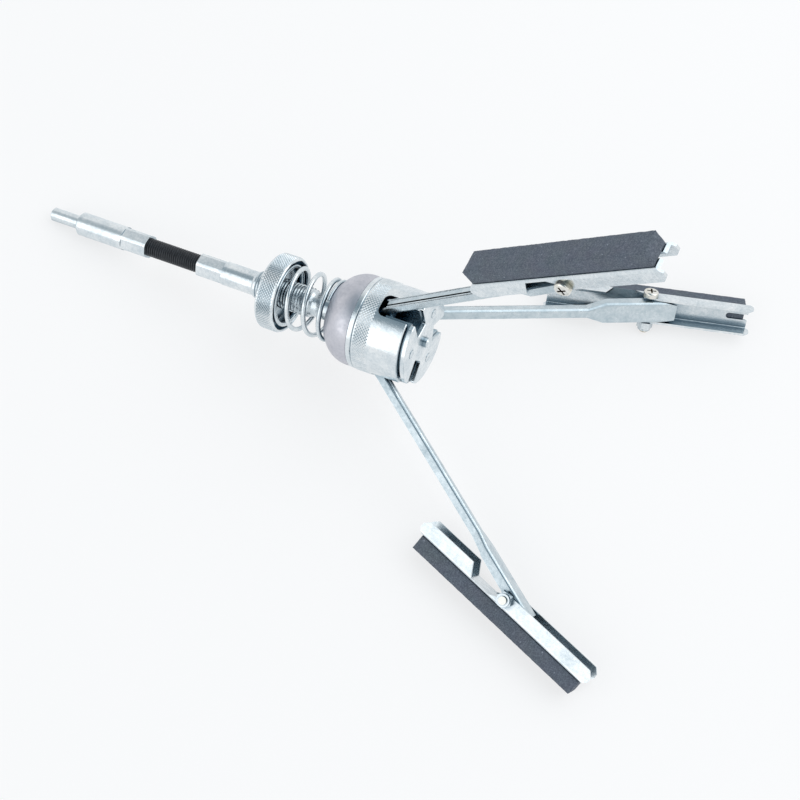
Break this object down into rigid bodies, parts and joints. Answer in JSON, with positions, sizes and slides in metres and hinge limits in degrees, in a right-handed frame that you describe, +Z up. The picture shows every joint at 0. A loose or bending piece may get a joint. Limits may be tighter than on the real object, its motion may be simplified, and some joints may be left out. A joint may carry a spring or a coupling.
{
  "type": "cylinder hone",
  "caption": "Spring-loaded hone on a flexible drive shaft, with swinging legs that carry pivoting abrasive stones for deglazing engine and brake cylinders.",
  "frame": {"origin": "middle of the footprint at the level of the surface that the hone lies on", "axes": "+Z up, +X from the drive shank towards the stones, with the tool axis rising towards +X by 11.31 degrees in the XZ plane; leg 1 points up, leg 2 towards +Y, leg 3 towards -Y"},
  "size_m": [0.3508, 0.2324, 0.2044],
  "materials": {
    "zinc_steel": "bright zinc plate",
    "satin_steel": "satin zinc plate",
    "yellow_zinc": "yellow zinc plate",
    "black_wire": "black oxide",
    "abrasive": "fine-grained vitrified abrasive"
  },
  "bodies": {
    "spindle": {"spindle": "zinc_steel", "carrier": "zinc_steel", "front_plate": "zinc_steel", "plate_rivets": "zinc_steel", "hinge_pin_1": "zinc_steel", "hinge_pin_2": "zinc_steel", "hinge_pin_3": "zinc_steel", "compression_spring": "zinc_steel"},
    "housing": {"housing_dome": "satin_steel", "housing_sleeve": "zinc_steel"},
    "washer": {"thrust_washer": "zinc_steel"},
    "nut": {"adjusting_nut": "zinc_steel"},
    "cable": {"flex_cable": "black_wire", "cable_core": "black_wire"},
    "shank": {"drive_shank": "zinc_steel"},
    "leg_1": {"leg_1": "zinc_steel"},
    "screw_1": {"pivot_screw_1": "yellow_zinc", "pivot_nut_1": "zinc_steel"},
    "holder_1": {"stone_holder_1": "zinc_steel", "stone_1": "abrasive"},
    "leg_2": {"leg_2": "zinc_steel"},
    "screw_2": {"pivot_screw_2": "yellow_zinc", "pivot_nut_2": "zinc_steel"},
    "holder_2": {"stone_holder_2": "zinc_steel", "stone_2": "abrasive"},
    "leg_3": {"leg_3": "zinc_steel"},
    "screw_3": {"pivot_screw_3": "yellow_zinc", "pivot_nut_3": "zinc_steel"},
    "holder_3": {"stone_holder_3": "zinc_steel", "stone_3": "abrasive"}
  },
  "joints": [
    {"name": "leg_1_swing", "type": "hinge", "parent": "spindle", "child": "leg_1", "pos_m": [0.01587, 0, 0.05603], "axis": [0, -1, 0], "range_deg": [-42.1, 0]},
    {"name": "screw_1_turn", "type": "hinge", "parent": "leg_1", "child": "screw_1", "pos_m": [0.09438, 0, 0.15954], "axis": [0, -1, 0], "range_deg": [0, 8.1]},
    {"name": "stone_1_tilt", "type": "hinge", "parent": "screw_1", "child": "holder_1", "pos_m": [0.09438, 0, 0.15954], "axis": [0, 1, 0], "range_deg": [-4, 16]},
    {"name": "leg_2_swing", "type": "hinge", "parent": "spindle", "child": "leg_2", "pos_m": [0.02007, 0.01238, 0.035], "axis": [-0.1699, 0.5, 0.8492], "range_deg": [-42.1, 0]},
    {"name": "screw_2_turn", "type": "hinge", "parent": "leg_2", "child": "screw_2", "pos_m": [0.12392, 0.08695, 0.01187], "axis": [-0.1699, 0.5, 0.8492], "range_deg": [0, 20.3]},
    {"name": "stone_2_tilt", "type": "hinge", "parent": "screw_2", "child": "holder_2", "pos_m": [0.12392, 0.08695, 0.01187], "axis": [0.1699, -0.5, -0.8492], "range_deg": [-4, 16]},
    {"name": "leg_3_swing", "type": "hinge", "parent": "spindle", "child": "leg_3", "pos_m": [0.02007, -0.01238, 0.035], "axis": [0.1699, 0.5, -0.8492], "range_deg": [-42.1, 0]},
    {"name": "screw_3_turn", "type": "hinge", "parent": "leg_3", "child": "screw_3", "pos_m": [0.12392, -0.08695, 0.01187], "axis": [0.1699, 0.5, -0.8492], "range_deg": [0, 20.3]},
    {"name": "stone_3_tilt", "type": "hinge", "parent": "screw_3", "child": "holder_3", "pos_m": [0.12392, -0.08695, 0.01187], "axis": [-0.1699, -0.5, 0.8492], "range_deg": [-4, 16]},
    {"name": "housing_slide", "type": "slide", "parent": "spindle", "child": "housing", "axis": [0.9806, 0, 0.1961], "range_m": [-0.00603, 0], "stiffness_N_per_m": 2500, "springref_m": 0.036, "deforming": ["compression_spring"]},
    {"name": "nut_turn", "type": "hinge", "parent": "washer", "child": "nut", "pos_m": [-0.04595, 0, 0.02909], "axis": [0.9806, 0, 0.1961], "range_deg": [-1085, 1085]},
    {"name": "nut_travel", "type": "slide", "parent": "spindle", "child": "washer", "axis": [0.9806, 0, 0.1961], "range_m": [-0.0045, 0.0045]},
    {"name": "shaft_bend_up", "type": "hinge", "parent": "spindle", "child": "cable", "pos_m": [-0.08654, 0, 0.02097], "axis": [0, 1, 0], "range_deg": [-18, 18], "stiffness_Nm_per_rad": 10, "deforming": ["flex_cable", "cable_core"]},
    {"name": "shaft_bend_side", "type": "hinge", "parent": "cable", "child": "shank", "pos_m": [-0.11655, 0, 0.01496], "axis": [-0.1961, 0, 0.9806], "range_deg": [-18, 18], "stiffness_Nm_per_rad": 10}
  ],
  "couplings": [
    {"joint": "leg_1_swing", "follows": "housing_slide", "rad_per_m": 120.48},
    {"joint": "screw_1_turn", "follows": "housing_slide", "rad_per_m": -22.012},
    {"joint": "leg_2_swing", "follows": "housing_slide", "rad_per_m": 120.48},
    {"joint": "screw_2_turn", "follows": "housing_slide", "rad_per_m": -57.339},
    {"joint": "leg_3_swing", "follows": "housing_slide", "rad_per_m": 120.48},
    {"joint": "screw_3_turn", "follows": "housing_slide", "rad_per_m": -57.339},
    {"joint": "nut_turn", "follows": "nut_travel", "rad_per_m": 4188.8}
  ]
}
